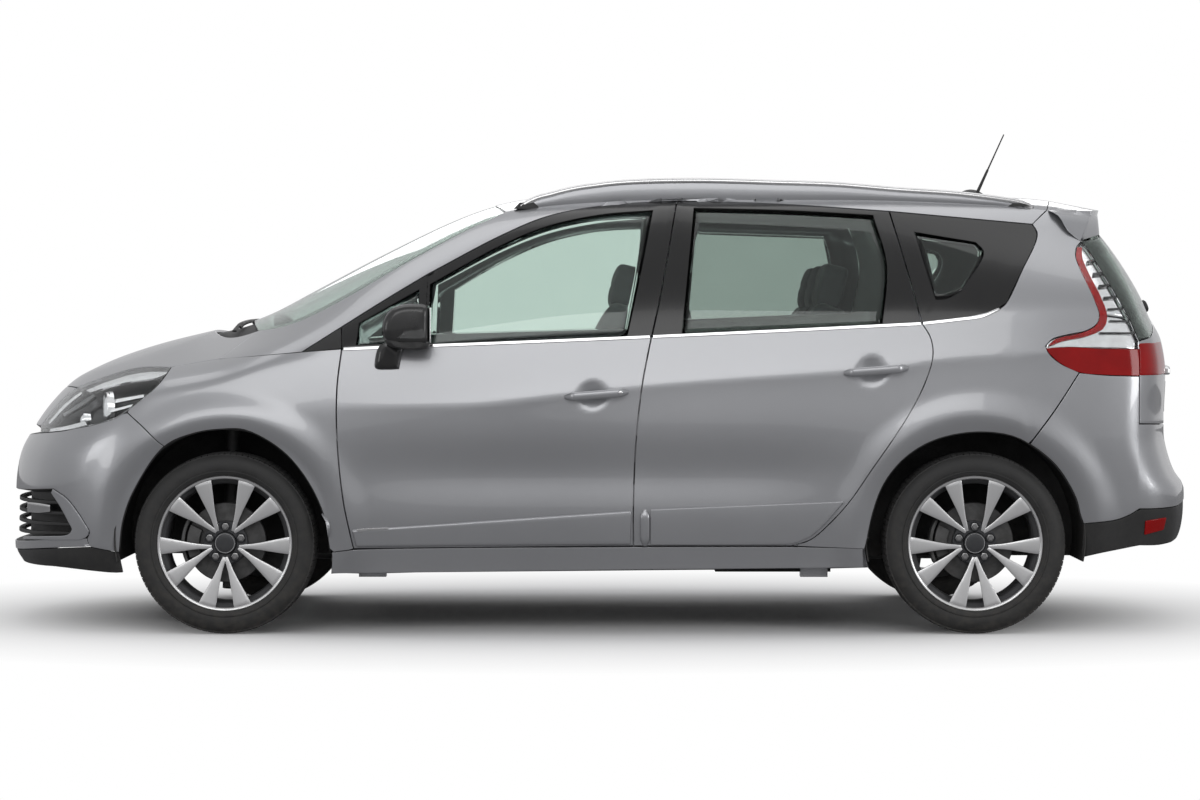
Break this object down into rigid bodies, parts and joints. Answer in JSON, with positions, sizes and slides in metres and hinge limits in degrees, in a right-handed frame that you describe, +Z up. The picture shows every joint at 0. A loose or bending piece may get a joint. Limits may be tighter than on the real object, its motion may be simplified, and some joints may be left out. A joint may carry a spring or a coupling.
{
  "type": "minivan",
  "caption": "Seven-seat minivan with hinged doors, bonnet and tailgate, steered front wheels and free-rolling wheels",
  "frame": {"origin": "on the ground, in the middle of the car's length and width", "axes": "+Z up; the front faces -X; the car's left side is -Y and its right side +Y"},
  "size_m": [4.57, 2.05, 1.9],
  "materials": {
    "body_paint": "silver-grey metallic paint under clear coat",
    "glass": "green-tinted glass",
    "black_plastic": "fine-grained black plastic",
    "lamp_clear": "clear lamp cover over bright reflectors",
    "lamp_red": "red lamp cover",
    "steel": "dark underbody coating",
    "cast_metal": "raw casting",
    "bright_rail": "satin anodised",
    "rubber_black": "matte",
    "tyre": "matte rubber",
    "alloy": "machined face with dark pockets",
    "seat_fabric": "dark woven cloth",
    "cabin_plastic": "soft grained plastic"
  },
  "bodies": {
    "body": {"body_sides": "body_paint", "roof_panel": "body_paint", "fixed_glass": "glass", "cowl_wipers": "black_plastic", "front_wings": "body_paint", "headlamps": "lamp_clear", "front_bumper": "body_paint", "front_grilles": "black_plastic", "tail_lamps": "lamp_red", "rear_bumper": "body_paint", "rear_valance": "black_plastic", "floor_pan": "steel", "arch_liners": "black_plastic", "roof_rails": "bright_rail", "aerial": "rubber_black", "engine_block": "cast_metal", "front_subframe": "steel", "front_frame": "steel", "exhaust": "steel", "fuel_tank": "black_plastic", "rear_axle": "steel", "dashboard": "cabin_plastic", "front_seats": "seat_fabric", "rear_seats": "seat_fabric"},
    "door_front_left": {"door_front_left": "body_paint", "door_glass_front_left": "glass", "mirror_left": "black_plastic"},
    "door_rear_left": {"door_rear_left": "body_paint", "door_glass_rear_left": "glass"},
    "knuckle_left": {"knuckle_left": "cast_metal"},
    "wheel_front_left": {"tyre_front_left": "tyre", "rim_front_left": "alloy"},
    "wheel_rear_left": {"tyre_rear_left": "tyre", "rim_rear_left": "alloy"},
    "door_front_right": {"door_front_right": "body_paint", "door_glass_front_right": "glass", "mirror_right": "black_plastic"},
    "door_rear_right": {"door_rear_right": "body_paint", "door_glass_rear_right": "glass"},
    "knuckle_right": {"knuckle_right": "cast_metal"},
    "wheel_front_right": {"tyre_front_right": "tyre", "rim_front_right": "alloy"},
    "wheel_rear_right": {"tyre_rear_right": "tyre", "rim_rear_right": "alloy"},
    "bonnet": {"bonnet": "body_paint"},
    "tailgate": {"tailgate": "body_paint", "tailgate_glass": "glass", "tailgate_lamps": "lamp_red"},
    "steering_wheel": {"steering_wheel": "cabin_plastic"}
  },
  "joints": [
    {"name": "door_front_left_hinge", "type": "hinge", "parent": "body", "child": "door_front_left", "pos_m": [-0.96541, -0.9165, 0.7], "axis": [0, 0, -1], "range_deg": [0, 65]},
    {"name": "door_rear_left_hinge", "type": "hinge", "parent": "body", "child": "door_rear_left", "pos_m": [0.13481, -0.921, 0.7], "axis": [0, 0, -1], "range_deg": [0, 65]},
    {"name": "door_front_right_hinge", "type": "hinge", "parent": "body", "child": "door_front_right", "pos_m": [-0.96541, 0.9165, 0.7], "axis": [0, 0, 1], "range_deg": [0, 65]},
    {"name": "door_rear_right_hinge", "type": "hinge", "parent": "body", "child": "door_rear_right", "pos_m": [0.13481, 0.921, 0.7], "axis": [0, 0, 1], "range_deg": [0, 65]},
    {"name": "bonnet_hinge", "type": "hinge", "parent": "body", "child": "bonnet", "pos_m": [-1.39271, 0, 1.151], "axis": [0, 1, 0], "range_deg": [0, 55]},
    {"name": "tailgate_hinge", "type": "hinge", "parent": "body", "child": "tailgate", "pos_m": [1.72975, 0, 1.6345], "axis": [0, -1, 0], "range_deg": [0, 78]},
    {"name": "steering_column", "type": "hinge", "parent": "body", "child": "steering_wheel", "pos_m": [-0.61695, -0.37, 0.9972], "axis": [0.88, 0, 0.475], "range_deg": [-540, 540]},
    {"name": "steer_left", "type": "hinge", "parent": "body", "child": "knuckle_left", "pos_m": [-1.375, -0.683, 0.336], "axis": [0, 0.2272, 0.9738], "range_deg": [-36, 36]},
    {"name": "steer_right", "type": "hinge", "parent": "body", "child": "knuckle_right", "pos_m": [-1.375, 0.683, 0.336], "axis": [0, -0.2272, 0.9738], "range_deg": [-36, 36]},
    {"name": "wheel_front_left_spin", "type": "hinge", "parent": "knuckle_left", "child": "wheel_front_left", "pos_m": [-1.375, -0.768, 0.336], "axis": [0, 1, 0], "continuous": true},
    {"name": "wheel_front_right_spin", "type": "hinge", "parent": "knuckle_right", "child": "wheel_front_right", "pos_m": [-1.375, 0.768, 0.336], "axis": [0, 1, 0], "continuous": true},
    {"name": "wheel_rear_left_spin", "type": "hinge", "parent": "body", "child": "wheel_rear_left", "pos_m": [1.395, -0.768, 0.336], "axis": [0, 1, 0], "continuous": true},
    {"name": "wheel_rear_right_spin", "type": "hinge", "parent": "body", "child": "wheel_rear_right", "pos_m": [1.395, 0.768, 0.336], "axis": [0, 1, 0], "continuous": true}
  ],
  "couplings": [
    {"joint": "steer_left", "follows": "steering_column", "ratio": 0.066667},
    {"joint": "steer_right", "follows": "steering_column", "ratio": 0.066667}
  ]
}
